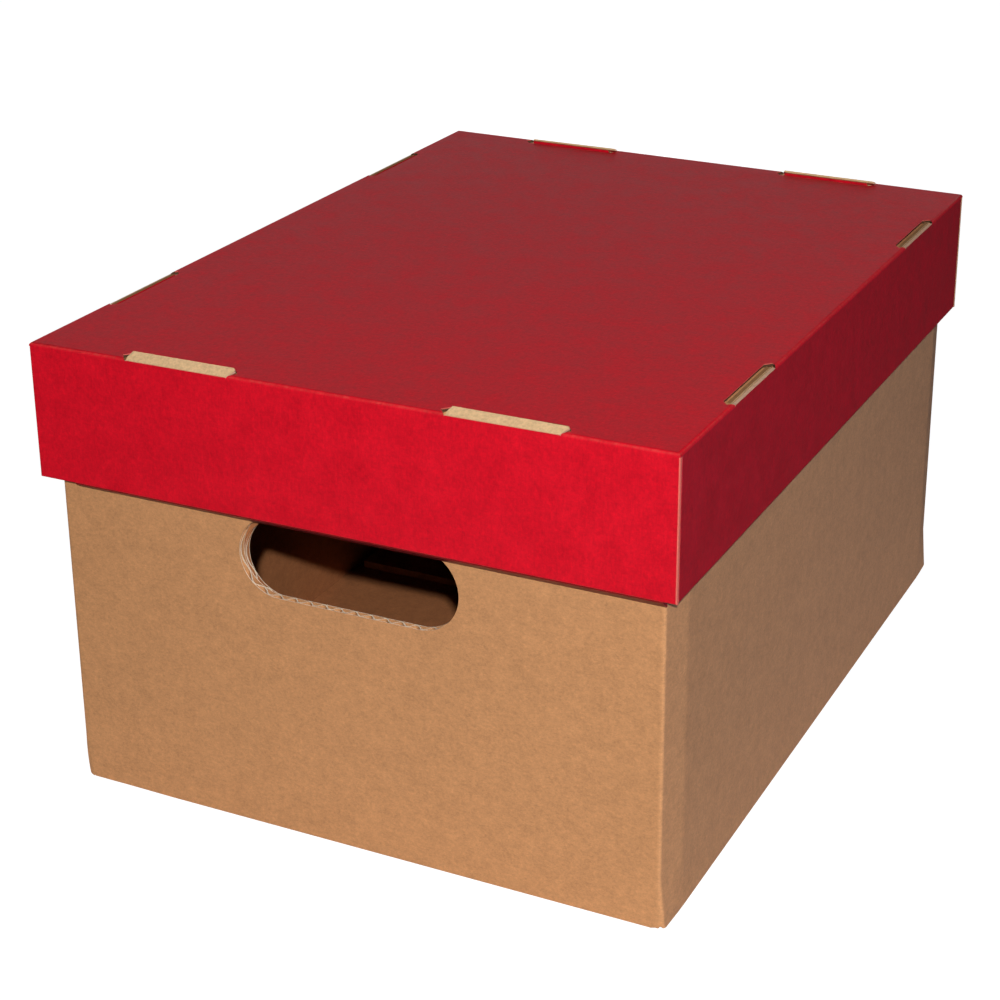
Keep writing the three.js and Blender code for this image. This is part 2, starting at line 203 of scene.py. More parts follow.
class StorageBoxLid(PropertyGroup):
    flute_pitch: FloatProperty(
        name="Flute pitch", description="Distance from wave to wave in the lid's board",
        default=0.0033, unit="LENGTH")
    fold_radius: FloatProperty(
        name="Fold radius", description="Outer radius of the folds round the lid's top",
        default=0.0017, unit="LENGTH")
    corner_radius: FloatProperty(
        name="Corner radius", description="Outer radius of the upright folds of the side walls",
        default=0.0008, unit="LENGTH")
    notch_depth: FloatProperty(
        name="Notch depth", description="How far a notch reaches in from the lid's end",
        default=0.0082, unit="LENGTH")
    side_notch_depth: FloatProperty(
        name="Side notch depth", description="How far a notch reaches in from the lid's side",
        default=0.0056, unit="LENGTH")
    notch_tip_share: FloatProperty(
        name="Notch tip", description="Where a notch's points lie, as a share of its depth", default=0.49)
    notch_bevel: FloatProperty(
        name="Notch bevel", description="Length of the slanted ends of a notch",
        default=0.0035, unit="LENGTH")
    end_notch_inset: FloatProperty(
        name="End notch inset", description="From the lid's side to the middle of an end notch",
        default=0.0795, unit="LENGTH")
    end_notch_length: FloatProperty(
        name="End notch length", description="Tip to tip length of the notches at the ends",
        default=0.0605, unit="LENGTH")
    side_notch_inset: FloatProperty(
        name="Side notch inset", description="From the lid's end to the middle of a side notch",
        default=0.087, unit="LENGTH")
    side_notch_length: FloatProperty(
        name="Side notch length", description="Tip to tip length of the notches at the sides",
        default=0.057, unit="LENGTH")
    edge_sink: FloatProperty(
        name="Edge sink", description="How far the outer walls end below the top in a notch",
        default=0.001, unit="LENGTH")
    lip_reach: FloatProperty(
        name="Lip reach", description="How far the top face's paper stands out over the core in a notch",
        default=0.0007, unit="LENGTH")
    lip_thickness: FloatProperty(
        name="Lip thickness", description="Thickness of the top face's paper round a notch",
        default=0.0004, unit="LENGTH")
    relief_depth: FloatProperty(
        name="Relief depth", description="How much lower the inner walls are cut beside their tabs",
        default=0.004, unit="LENGTH")
    relief_reach: FloatProperty(
        name="Relief reach", description="How far that lower cut reaches", default=0.0055, unit="LENGTH")
    end_tab_length: FloatProperty(
        name="End tab length", description="Length of the tabs at the ends",
        default=0.050, unit="LENGTH")
    end_tab_shift: FloatProperty(
        name="End tab shift", description="How far the end tabs lie to the right",
        default=0.0005, unit="LENGTH")
    back_tab_sink: FloatProperty(
        name="Back tab sink", description="How much lower the back tabs stand than the front ones",
        default=0.0004, unit="LENGTH")
    tab_face: FloatProperty(
        name="Tab face", description="Thickness of the face that bulges out on an end tab",
        default=0.0011, unit="LENGTH")
    hem_drop_left: FloatProperty(
        name="Hem drop, left", description="Slant of the front hem at its left end",
        default=0.0042, unit="LENGTH")
    hem_drop_right: FloatProperty(
        name="Hem drop, right", description="Slant of the front hem at its right end",
        default=0.0050, unit="LENGTH")
    side_hem_drop: FloatProperty(
        name="Side hem drop", description="Slant of the hems along the sides",
        default=0.002, unit="LENGTH")
    side_tab_length: FloatProperty(
        name="Side tab length", description="Length of the tabs at the sides",
        default=0.051, unit="LENGTH")
    side_tab_shift: FloatProperty(
        name="Side tab shift", description="How far the side tabs lie to the front",
        default=0.001, unit="LENGTH")
    tab_chamfer: FloatProperty(
        name="Tab chamfer", description="Chamfer on the upper corners of a tab",
        default=0.0008, unit="LENGTH")
    print_red: FloatVectorProperty(
        name="Print", description="Colour of the printed board", subtype="COLOR",
        min=0, max=1, default=(0.65, 0.004, 0.017))
    # The side walls' print is painted darker than the rest, as painted shade on the sides.
    side_shade_share: FloatProperty(
        name="Side print", default=0.75,
        description="How bright the side walls' print is, next to the other print")
    bare_colour: FloatVectorProperty(
        name="Bare face", description="Colour of the lid board's unprinted face", subtype="COLOR",
        min=0, max=1, default=(0.63, 0.415, 0.22))
    # The open flutes in the notches are painted nearly black, as painted shade inside the flutes.
    core_shade_colour: FloatVectorProperty(
        name="Core", description="Painted shade of the open flutes in the notches", subtype="COLOR",
        min=0, max=1, default=(0.10, 0.045, 0.022))
    # The hems' print is painted dark, as painted shade under the lid's lower edge.
    hem_shade_red: FloatVectorProperty(
        name="Hem", description="Colour of the print on the hems, which is painted darker as shade",
        subtype="COLOR", min=0, max=1, default=(0.20, 0.006, 0.008))
    edge_colour: FloatVectorProperty(
        name="Cut edge", description="Colour of the board's cut edges", subtype="COLOR",
        min=0, max=1, default=(0.70, 0.44, 0.30))
    tab_edge: FloatVectorProperty(
        name="Tab edge", description="Colour of the dark upper edges of the tabs", subtype="COLOR",
        min=0, max=1, default=(0.33, 0.16, 0.065))
    worn_colour: FloatVectorProperty(
        name="Worn print", description="Colour of the print where edges have rubbed it off",
        subtype="COLOR", min=0, max=1, default=(0.72, 0.15, 0.11))


class StorageBoxStage(PropertyGroup):
    camera_place: FloatVectorProperty(
        name="Camera", description="Where the camera stands", subtype="TRANSLATION",
        unit="LENGTH", default=(0.45018, -0.95086, 0.56315))
    camera_turn: FloatVectorProperty(
        name="Camera turn", description="How the camera is turned", subtype="EULER",
        default=(math.radians(68.868), math.radians(-0.081), math.radians(25.141)))
    lens: FloatProperty(
        name="Lens", description="Focal length in millimetres on a sensor 36 mm wide", default=77.882)
    shift: FloatVectorProperty(
        name="Shift", description="Lens shift across and up", size=2, default=(-0.0527, -0.1072))
    key_place: FloatVectorProperty(
        name="Key light", description="Where the key light stands", subtype="TRANSLATION",
        unit="LENGTH", default=(0.585, -1.209, 0.800))
    key_size: FloatProperty(
        name="Key size", description="Width of the key light", default=0.026, unit="LENGTH")
    key_power: FloatProperty(
        name="Key power", description="Power of the key light in watts", default=18.2)
    fill_size: FloatProperty(
        name="Fill size", description="Width of the low lights round the box", default=0.26, unit="LENGTH")
    fill_power: FloatProperty(
        name="Fill power", default=6.0,
        description="Power of the low lights behind and to the left, in watts")
    sky_power: FloatProperty(
        name="Sky power", description="Power of the low bluish light to the right, in watts", default=1.2)
    sky_colour: FloatVectorProperty(
        name="Sky colour", description="Colour of the light to the right", subtype="COLOR",
        min=0, max=1, default=(0.34, 0.50, 1.0))
    soft_power: FloatProperty(
        name="Soft light power", description="Power of the soft light above, in watts", default=2.7)
    ambient: FloatProperty(
        name="Ambient", description="Strength of the even light from all round", default=0.014)
    sheen: FloatProperty(
        name="Sheen", description="Strength of the low background where glossy faces mirror it", default=0.76)
    floor_sheen: FloatProperty(
        name="Floor sheen", description="Strength of the floor where glossy faces mirror it", default=0.05)
    floor_white: FloatProperty(
        name="Floor near", description="How pale the floor is close to the box", default=0.85)
    floor_grey: FloatProperty(
        name="Floor far", description="How pale the floor is away from the box", default=0.12)
    floor_reach: FloatProperty(
        name="Floor reach", description="How far the pale floor reaches from the box", default=0.26,
        unit="LENGTH")


# Mesh helpers

def loft(bm, rings, slot=0):
    """Joins rings of points into one closed skin."""
    rows = [[bm.verts.new(point) for point in ring] for ring in rings]
    faces = []
    for here, there in zip(rows, rows[1:]):
        for i in range(len(here)):
            j = (i + 1) % len(here)
            faces.append(bm.faces.new((here[i], there[i], there[j], here[j])))
    faces.append(bm.faces.new(rows[0]))
    faces.append(bm.faces.new(tuple(reversed(rows[-1]))))
    for face in faces:
        face.material_index = slot


def warp(bm):
    """Lets the set-up board wind a little: two of the lid's corners lie higher than the others."""
    most = bpy.context.scene.storage_box_body.wind
    for vert in bm.verts:
        x, y, z = vert.co
        share = (x / LID_HALF_WIDTH) * (y / LID_HALF_LENGTH) * (z / LID_TOP)
        vert.co.z = min(z - most * share, cad_bounds[1][2])


def finish_piece(name, bm, materials, body, nodes):
    """Turns a bmesh into a piece that rides on a body and stands for its nodes."""
    warp(bm)
    bmesh.ops.remove_doubles(bm, verts=bm.verts, dist=SAME)
    bmesh.ops.recalc_face_normals(bm, faces=bm.faces)
    mesh = bpy.data.meshes.new(name)
    bm.to_mesh(mesh)
    bm.free()
    for material in materials:
        mesh.materials.append(material)
    mesh.shade_smooth()
    mesh.set_sharp_from_angle(angle=SHARP_ANGLE)
    piece = bpy.data.objects.new(name, mesh)
    bpy.context.scene.collection.objects.link(piece)
    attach(piece, body)
    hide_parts(*nodes)
    level = piece.modifiers.new("large faces stay flat", "WEIGHTED_NORMAL")
    level.keep_sharp = True


def finish_body(name, bm, materials, node):
    finish_piece(name, bm, materials, "box", [node])


def finish_lid(name, bm, materials, node):
    finish_piece(name, bm, materials, "lid", [node])


def steps(start, end, count):
    """Evenly spaced values from a start to an end."""
    return [start + (end - start) * i / count for i in range(count + 1)]


def between(values, low, high):
    """The values inside a span, with both of its ends."""
    return [low, *(v for v in values if low + HAIR < v < high - HAIR), high]


def distinct(values):
    """The values in order, each one once."""
    return sorted({round(value, 8) for value in values})


def mirrored(values):
    """The values and their negatives, in order."""
    right = list(values)
    return sorted([-value for value in right] + right)


class Track:
    """A path in plan, made of lines and of arcs round its corners, followed counter-clockwise."""

    def __init__(self, points, radii):
        self.parts = []
        self.length = 0.0
        here = Vector(points[0])
        for i, radius in enumerate(radii, start=1):
            into = (Vector(points[i]) - Vector(points[i - 1])).normalized()
            out = (Vector(points[i + 1]) - Vector(points[i])).normalized()
            turn = math.atan2(into.cross(out), into.dot(out))
            run = abs(radius * math.tan(turn / 2))
            start = Vector(points[i]) - into * run
            self.add_line(here, start)
            self.add_arc(start, into, radius, turn)
            here = Vector(points[i]) + out * run
        self.add_line(here, Vector(points[-1]))

    def add_line(self, start, end):
        length = (end - start).length
        if length > TRACE:
            self.parts.append(("line", self.length, length, start, (end - start) / length, 0))
            self.length += length

    def add_arc(self, start, into, radius, turn):
        length = radius * abs(turn)
        self.parts.append(("arc", self.length, length, start, into, turn))
        self.length += length

    def at(self, along):
        """The point, and the way into the board, at a distance along the path."""
        for kind, begin, length, start, way, turn in self.parts:
            if along <= begin + length + TRACE:
                break
        share = min(max((along - begin) / length, 0), 1)
        inward = Vector((-way.y, way.x))
        if kind == "line":
            return start + way * length * share, inward
        radius = math.copysign(length / abs(turn), turn)
        centre = start + inward * radius
        angle = turn * share
        spoke = Vector((inward.x * math.cos(angle) - inward.y * math.sin(angle),
                        inward.x * math.sin(angle) + inward.y * math.cos(angle)))
        return centre - spoke * radius, spoke

    def stations(self, arc_steps):
        """Distances along the path that follow its arcs."""
        found = []
        for kind, begin, length, *_ in self.parts:
            found += steps(begin, begin + length, arc_steps if kind == "arc" else 1)
        return distinct(found)


# Materials

class Nodes:
    """Short calls for building a node tree."""

    def __init__(self, material):
        self.tree = material.node_tree
        self.made = self.tree.nodes

    def add(self, kind, **values):
        node = self.made.new(kind)
        for name, value in values.items():
            setattr(node, name, value)
        return node

    def link(self, source, target):
        self.tree.links.new(source, target)

    def math(self, operation, first, second=None, third=None):
        node = self.add("ShaderNodeMath", operation=operation)
        for socket, value in zip(node.inputs, (first, second, third)):
            self.put(socket, value)
        return node.outputs[0]

    def put(self, socket, value):
        if value is None:
            return
        if isinstance(value, (int, float, tuple)):
            socket.default_value = value
        else:
            self.link(value, socket)

    def noise(self, vector, scale, detail=3.0, roughness=0.55):
        node = self.add("ShaderNodeTexNoise")
        mapping = self.add("ShaderNodeMapping")
        mapping.inputs["Scale"].default_value = scale
        self.link(vector, mapping.inputs["Vector"])
        self.link(mapping.outputs[0], node.inputs["Vector"])
        node.inputs["Scale"].default_value = 1.0
        node.inputs["Detail"].default_value = detail
        node.inputs["Roughness"].default_value = roughness
        return node.outputs["Fac"]

    def grain(self, vector, scale):
        """A noise as rough as paper."""
        return self.noise(vector, scale, detail=2.0, roughness=0.8)

    def span(self, value, from_low, from_high, to_low, to_high):
        node = self.add("ShaderNodeMapRange")
        for name, put in (("Value", value), ("From Min", from_low), ("From Max", from_high),
                          ("To Min", to_low), ("To Max", to_high)):
            self.put(node.inputs[name], put)
        return node.outputs[0]

    def mix(self, share, first, second, blend="MIX"):
        node = self.add("ShaderNodeMix", data_type="RGBA", blend_type=blend)
        self.put(node.inputs[0], share)
        self.put(node.inputs[6], first)
        self.put(node.inputs[7], second)
        return node.outputs[2]

    def bump(self, height, strength, distance):
        node = self.add("ShaderNodeBump")
        node.inputs["Strength"].default_value = strength
        node.inputs["Distance"].default_value = distance
        self.link(height, node.inputs["Height"])
        return node.outputs[0]

    def join(self, kind, first, second, share=None):
        """Two shaders added, or mixed by a share."""
        node = self.add(kind)
        if share is not None:
            self.link(share, node.inputs[0])
        self.link(first.outputs[0], node.inputs[-2])
        self.link(second.outputs[0], node.inputs[-1])
        return node

    def direct_view(self, path):
        """1 for rays that come straight from the camera or through something clear."""
        return self.math("MAXIMUM", path.outputs["Is Camera Ray"], path.outputs["Is Transmission Ray"])


def new_material(name):
    """A material with its shader, a helper for its nodes, and the place on the object as a vector."""
    material = bpy.data.materials.new(name)
    material.use_nodes = True
    shader = material.node_tree.nodes["Principled BSDF"]
    nodes = Nodes(material)
    place = nodes.add("ShaderNodeTexCoord").outputs["Object"]
    return material, shader, nodes, place


def fold_wear_and_highlight(nodes):
    """1 where the surface turns halfway round a fold, 0 on flat walls."""
    normal = nodes.add("ShaderNodeNewGeometry").outputs["Normal"]
    size = nodes.add("ShaderNodeVectorMath", operation="ABSOLUTE")
    nodes.link(normal, size.inputs[0])
    parts = nodes.add("ShaderNodeSeparateXYZ")
    nodes.link(size.outputs[0], parts.inputs[0])
    largest = nodes.math("MAXIMUM", nodes.math("MAXIMUM", parts.outputs[0], parts.outputs[1]),
                         parts.outputs[2])
    return nodes.span(largest, 0.985, 0.80, 0.0, 1.0)


def tint(colour, factor=1.0):
    """A colour with its alpha, made lighter or darker by a factor."""
    return tuple(min(1.0, channel * factor) for channel in colour) + (1.0,)


def grey(level):
    return (level, level, level, 1.0)


def shaded(nodes, colour, noises, extra=None):
    """A colour times 1 plus each noise's swing about its middle, and plus a share of one more value."""
    shade = 1.0
    for noise, amount in noises:
        shade = nodes.math("ADD", nodes.math("MULTIPLY_ADD", noise, amount, -amount / 2), shade)
    if extra:
        shade = nodes.math("MULTIPLY_ADD", *extra, shade)
    levels = nodes.add("ShaderNodeCombineColor")
    for socket in levels.inputs:
        nodes.link(shade, socket)
    return nodes.mix(1.0, tint(colour), levels.outputs[0], blend="MULTIPLY")


def coat(nodes, shader, colour, roughness, gloss, relief):
    """Gives a shader its colour, roughness and relief, and a gloss that is the same all over."""
    nodes.link(colour, shader.inputs["Base Color"])
    nodes.link(roughness, shader.inputs["Roughness"])
    shader.inputs["Specular IOR Level"].default_value = gloss
    nodes.link(relief, shader.inputs["Normal"])


def kraft_board(name, colour, axis, pitch):
    """Unprinted board: fibres, blotches, flutes showing through as bumped lines with painted light and shade,
    and folds lightened by wear and a painted highlight.
    """
    material, shader, nodes, place = new_material(name)
    cloud = nodes.noise(place, (55, 55, 55), detail=2.0)
    blotch = nodes.grain(place, (150, 150, 190))
    mottle = nodes.grain(place, (520, 520, 700))
    fibre = nodes.grain(place, (1100, 1100, 2000))
    parts = nodes.add("ShaderNodeSeparateXYZ")
    nodes.link(place, parts.inputs[0])
    wave = nodes.math("SINE", nodes.math("MULTIPLY", parts.outputs[axis], 2 * math.pi / pitch))
    swings = ((cloud, 0.14), (blotch, 0.38), (mottle, 0.58), (fibre, 0.44))
    # The flute wave also tints the colour a little: faint painted light and shade of the flute ridges, beside
    # their bump.
    body = shaded(nodes, colour, swings, (wave, 0.006))
    # Folds are painted lighter: partly worn fibres, partly a painted highlight on the creases.
    worn = nodes.math("MULTIPLY", fold_wear_and_highlight(nodes), nodes.span(mottle, 0.35, 0.65, 0.22, 0.48))
    body = nodes.mix(worn, body, tint(colour, 1.5))
    relief = nodes.math("MULTIPLY_ADD", mottle, 0.5, nodes.math("MULTIPLY", fibre, 0.35))
    relief = nodes.math("MULTIPLY_ADD", wave, 0.10, relief)
    coat(nodes, shader, body, nodes.span(mottle, 0.3, 0.7, 0.74, 0.88), 0.3, nodes.bump(relief, 0.30, 0.0002))
    return material


def printed_board(name, colour, worn_colour, wear=0.3):
    """Printed face: an even red with a fine linen grain and a satin varnish, rubbed off on folds."""
    material, shader, nodes, place = new_material(name)
    cloud = nodes.noise(place, (70, 70, 70), detail=3.0, roughness=0.7)
    along_x = nodes.grain(place, (260, 1000, 1000))
    along_y = nodes.grain(place, (1000, 260, 1000))
    along_z = nodes.grain(place, (1000, 1000, 200))
    mottle = nodes.grain(place, (430, 430, 360))
    swings = ((cloud, 0.44), (mottle, 0.50), (along_x, 0.26), (along_y, 0.26), (along_z, 0.36))
    body = shaded(nodes, colour, swings)
    fleck = nodes.noise(place, (420, 420, 420), detail=3.0, roughness=0.7)
    rubbed = nodes.math("MULTIPLY", fold_wear_and_highlight(nodes), nodes.span(fleck, 0.42, 0.66, wear * 0.25, wear))
    body = nodes.mix(rubbed, body, tint(worn_colour))
    relief = nodes.math("ADD", nodes.math("ADD", along_x, along_y), along_z)
    coat(nodes, shader, body, nodes.span(cloud, 0.3, 0.7, 0.37, 0.45), 0.24, nodes.bump(relief, 0.12, 0.0001))
    return material


def cut_edge(name, colour):
    """Cut edge of board: torn paper fibres with the fluting between them."""
    material, shader, nodes, place = new_material(name)
    fibre = nodes.noise(place, (900, 900, 900), detail=3.0, roughness=0.7)
    flute = nodes.noise(place, (300, 300, 60), detail=1.0)
    body = shaded(nodes, colour, ((fibre, 0.5), (flute, 0.35)))
    coat(nodes, shader, body, nodes.span(fibre, 0.3, 0.7, 0.82, 0.95), 0.2, nodes.bump(fibre, 0.5, 0.0003))
    return material


def material_named(name, make, *values):
    """A material by name, made the first time that it is asked for."""
    return bpy.data.materials.get(name) or make(name, *values)


def body_materials(kind, inside=False):
    """The body's board, with its flutes upright, as it looks outside or inside, and its cut paper."""
    body = bpy.context.scene.storage_box_body
    look, colour = ("inside", body.inside) if inside else ("board", body.kraft)
    return [
        material_named(f"kraft_{look}_{kind}s", kraft_board, colour, RUN_AXIS[kind], body.flute_pitch),
        material_named("kraft_cut_paper", cut_edge, body.cut_paper),
    ]


# Places of the lid's finishes in its pieces' material slots
PRINTED, BARE, CUT, WORN, CORE_SHADE, TAB = range(6)


def lid_materials(side=False):
    """The lid board's printed face, bare face, cut edge, worn print, painted shade of the open flutes, and
    tab edge.

    The print of the lid's side walls is painted darker, as painted shade on the sides."""
    lid = bpy.context.scene.storage_box_lid
    printed = ("lid_printed_face", lid.print_red)
    if side:
        # A darker copy of the print for the side walls: painted shade.
        printed = ("lid_printed_side", tint(lid.print_red, lid.side_shade_share)[:3])
    return [
        material_named(printed[0], printed_board, printed[1], lid.worn_colour),
        material_named("lid_kraft_face", kraft_board, lid.bare_colour, 0, lid.flute_pitch),
        material_named("lid_cut_edge", cut_edge, lid.edge_colour),
        material_named("lid_worn_edge", cut_edge, lid.worn_colour),
        material_named("lid_open_flutes", cut_edge, lid.core_shade_colour),
        material_named("lid_tab_edge", cut_edge, lid.tab_edge),
    ]


# Body walls

# Heights where the outer face can bend, as shares of the pressed height
FACE_ROWS = (0.17, 0.33, 0.5, 0.75)


def against(half, kind, sign):
    """Places a distance along a wall, a depth in from its face, and a height."""
    if kind == "end":
        return lambda along, depth, z: (along, sign * (half - depth), z)
    return lambda along, depth, z: (sign * (half - depth), along, z)


def hole_half(settings, along):
    """Half the height of a hand hole at a distance from its middle."""
    radius = settings.hole_height / 2
    past = abs(along) - (settings.hole_length / 2 - radius)
    if past <= 0:
        return radius
    return math.sqrt(max(0.0, radius * radius - past * past))


def hole_stations(settings):
    """Distances from a hand hole's middle that follow its round ends."""
    radius = settings.hole_height / 2
    reach = settings.hole_length / 2 - radius
    return mirrored(reach + radius * math.sin(angle) for angle in steps(0, math.pi / 2, HOLE_STEPS))


def foot_and_face(settings, low, high, rise):
    """Section of the outer face: round the foot, up to the top, and back down inside."""
    radius, liner = settings.foot_radius, settings.liner
    start, bend = low + rise, radius - liner
    angles = steps(0, math.pi / 2, FOLD_STEPS)
    outer = [(radius * (1 - math.sin(a)), start + radius * (1 - math.cos(a))) for a in angles]
    inner = [(radius - bend * math.sin(a), start + radius - bend * math.cos(a)) for a in angles]
    rows = [low + settings.pressed_height * share for share in FACE_ROWS] + [settings.splay_height, high]
    outer += [(0.0, z) for z in rows]
    inner += [(liner, z) for z in rows]
    return outer + inner[::-1]


def flat_section(near, far, low, high):
    return [(near, low), (near, high), (far, high), (far, low)]


def wave_section(settings, along, low, high):
    """Section of the fluting where the wave stands at a distance along the board."""
    room = BODY_BOARD - 2 * settings.liner - settings.medium
    phase = 2 * math.pi * along / settings.flute_pitch
    depth = BODY_BOARD / 2 + room / 2 * math.sin(phase)
    slope = room / 2 * math.cos(phase) * 2 * math.pi / settings.flute_pitch
    half = settings.medium / 2 * math.sqrt(1 + slope * slope)
    return flat_section(depth - half, depth + half, low, high)


def wave_stations(settings, start, end):
    return steps(start, end, round((end - start) / settings.flute_pitch * WAVE_STEPS))


def add_skin(bm, place, stations, section):
    loft(bm, [[place(s, depth, z) for depth, z in section(s)] for s in stations])


def add_board(bm, settings, place, stations, low, top, hole_height=None, foot=None):
    """Both faces and the fluting of a board that stands up, with a hand hole if it has one.

    The outer face has a round foot where foot gives how far it is nicked there."""
    liner = settings.liner
    inner_low = low if foot is None else BODY_BOARD
    fine = wave_stations(settings, stations[0], stations[-1])
    spans = [(stations[0], stations[-1], None)]
    if hole_height is not None:
        edge = settings.hole_length / 2
        spans = [(stations[0], -edge, None), (-edge, edge, "below"), (-edge, edge, "above"),
                 (edge, stations[-1], None)]
        stations = sorted(set(stations + hole_stations(settings)))
        fine = sorted(set(fine + hole_stations(settings)))

    def reach(s, part, start):
        """Where a layer starts and ends in height: beside the hole, below it or above it."""
        if part == "below":
            return start, hole_height - hole_half(settings, s)
        if part == "above":
            return hole_height + hole_half(settings, s), top(s)
        return start, top(s)

    for begin, end, part in spans:
        coarse, waves = between(stations, begin, end), between(fine, begin, end)

        def outer(s):
            if part == "above" or foot is None:
                return flat_section(0.0, liner, *reach(s, part, low))
            return foot_and_face(settings, *reach(s, part, low), foot(s))

        def inner(s):
            return flat_section(BODY_BOARD - liner, BODY_BOARD, *reach(s, part, inner_low))

        add_skin(bm, place, coarse, outer)
        add_skin(bm, place, coarse, inner)
        add_skin(bm, place, waves, lambda s: wave_section(settings, s, *reach(s, part, inner_low)))


def dress_hole(bm, settings, height):
    """Gives the cut paper's look to the faces that line a hand hole."""
    bm.normal_update()
    for face in bm.faces:
        middle = face.calc_center_median()
        level = abs(middle.z - height) < settings.hole_height / 2 + settings.liner
        across = abs(middle.x) < settings.hole_length / 2 + settings.liner
        if level and across and abs(face.normal.y) < TURNED:
            face.material_index = 1


def pressed(settings, x, y, z):
    """Presses the lower front left corner in, where the box has been knocked."""
    height = 1 - z / settings.pressed_height
    plan = 1 - math.hypot(x + CORNER_X, y + BODY_HALF_LENGTH) / (2 * settings.pressed_height)
    if height <= 0 or plan <= 0:
        return x, y, z
    push = settings.pressed_depth * height * height * plan * (2 - plan)
    return x + push, y + push / 4, z


def splayed(settings, x, y, z):
    """Straightens a side wall's outer face towards the ground, where the base holds it."""
    height = min(max(1 - z / settings.splay_height, 0.0), 1.0)
    turn = max(0.0, abs(y) - BEND_Y) * STRIP_SLANT
    past = min((BODY_HALF_LENGTH - abs(y)) / settings.splay_start, 1.0)
    return x + math.copysign(settings.splay_share * height * turn * past * (2 - past), x), y, z


def nick_at(settings, distance):
    """How far the board is nicked at a distance from the corner crease."""
    share = max(0.0, 1 - abs(distance) / settings.nick_reach)
    return settings.nick_height * share * share * (3 - 2 * share)


def below_rim(settings, along, start, end):
    """Height of a wall's cut edge: below the rolled rim where there is one, else full."""
    return BODY_TOP - settings.rim_radius if start <= along <= end else BODY_TOP


class STORAGEBOX_OT_end_walls(Operator):
    """Front and back wall of the body, each with a hand hole"""

    bl_idname = "storage_box.end_walls"
    bl_label = "End walls"

    def execute(self, context):
        body = context.scene.storage_box_body
        arc = body.crease_radius * CORNER_TURN
        flat_end = CORNER_X - body.crease_radius * math.tan(CORNER_TURN / 2)
        rim_end = END_INNER_HIGH.x

        def foot(x):
            return nick_at(body, flat_end - abs(x) + arc / 2)

        near_end = [flat_end - value for value in steps(0, 2 * body.pressed_height, END_PRESS_STEPS)]
        right = [*steps(0, body.hole_length / 2, 8), rim_end, rim_end + body.liner / 4, *near_end]
        stations = distinct(mirrored(right))
        for name, sign in ENDS:
            bm = bmesh.new()
            flat = against(BODY_HALF_LENGTH, "end", sign)
            add_board(bm, body, lambda s, depth, z: pressed(body, *flat(s, depth, z)), stations, 0.0,
                      lambda x: below_rim(body, x, -rim_end, rim_end), hole_height=body.hole_centre,
                      foot=lambda x: foot(x) if name == "front" and x > 0 else 0.0)
            dress_hole(bm, body, body.hole_centre)
            finish_body(f"body_{name}_wall_board", bm, body_materials("end"), f"body_{name}_wall")
        return {"FINISHED"}


class STORAGEBOX_OT_side_walls(Operator):
    """Left and right wall of the body, with the corner creases at both of their ends"""

    bl_idname = "storage_box.side_walls"
    bl_label = "Side walls"

    def execute(self, context):
        body = context.scene.storage_box_body
        run = body.crease_radius * math.tan(CORNER_TURN / 2)
        arc = body.crease_radius * CORNER_TURN
        ends = [(CORNER_X - run, -BODY_HALF_LENGTH), (CORNER_X, -BODY_HALF_LENGTH)]
        ends.append((BODY_HALF_WIDTH, -BEND_Y))
        points = ends + [(x, -y) for x, y in reversed(ends)]
        track = Track(points, [body.crease_radius, body.bend_radius, body.bend_radius, body.crease_radius])
        middle, inner_ends = track.length / 2, (arc + BODY_BOARD, track.length - arc - BODY_BOARD)

        for name, sign in SIDES:
            bm = bmesh.new()
            front, back = INNER_SPANS[name]

            def plain(s, depth, z):
                point, inward = track.at(s)
                spot = point + inward * depth
                return sign * spot.x, spot.y, z

            def place(s, depth, z):
                return pressed(body, *plain(s, depth, z))

            def face_place(s, depth, z):
                return pressed(body, *splayed(body, *plain(s, depth, z)))

            def top(s):
                return below_rim(body, track.at(s)[0].y, front, back)

            def foot(s):
                return nick_at(body, s - arc / 2) if name == "right" else 0.0

            step = body.liner / 4
            rim_steps = [middle + front, middle + front - step, middle + back, middle + back + step]
            near = steps(0, 2 * body.pressed_height, SIDE_PRESS_STEPS)
            stations = distinct([*track.stations(CREASE_STEPS), *rim_steps, *near,
                                 *(track.length - value for value in near)])

            add_skin(bm, face_place, stations, lambda s: foot_and_face(body, 0.0, top(s), foot(s)))
            add_skin(bm, place, between(stations, *inner_ends),
                     lambda s: flat_section(BODY_BOARD - body.liner, BODY_BOARD, BODY_BOARD, top(s)))
            add_skin(bm, place, wave_stations(body, *inner_ends),
                     lambda s: wave_section(body, s, BODY_BOARD, top(s)))
            finish_body(f"body_{name}_wall_board", bm, body_materials("side"), f"body_{name}_wall")
        return {"FINISHED"}


class STORAGEBOX_OT_inner_walls(Operator):
    """Inner walls of the body and the flap that closes the tube of walls"""

    bl_idname = "storage_box.inner_walls"
    bl_label = "Inner walls"

    def execute(self, context):
        body = context.scene.storage_box_body
        for name, kind, sign in WALLS:
            bm = bmesh.new()
            height = body.hole_centre - body.inner_hole_drop if kind == "end" else None
            add_board(bm, body, against(BODY_HALVES[kind] - INNER_DEPTH, kind, sign), list(INNER_SPANS[name]),
                      END_INNER_LOW.z, lambda s: BODY_TOP - body.rim_radius, hole_height=height)
            if height is not None:
                dress_hole(bm, body, height)
            finish_body(f"body_{name}_inner_board", bm, body_materials(kind, inside=True),
                        f"body_{name}_inner_wall")
        self.glue_flap(body)
        return {"FINISHED"}

    def glue_flap(self, body):
        bm = bmesh.new()

        def place(s, depth, z):
            tucked = STRIP_SLANT * max(0.0, s - BEND_Y)
            return -(BODY_HALF_WIDTH - tucked - INNER_DEPTH - depth), s, z

        stations = sorted({GLUE_LOW.y, BEND_Y, GLUE_HIGH.y})
        add_board(bm, body, place, stations, GLUE_LOW.z, lambda s: GLUE_HIGH.z)
        finish_body("body_glue_flap_board", bm, body_materials("side", inside=True), "body_glue_flap")


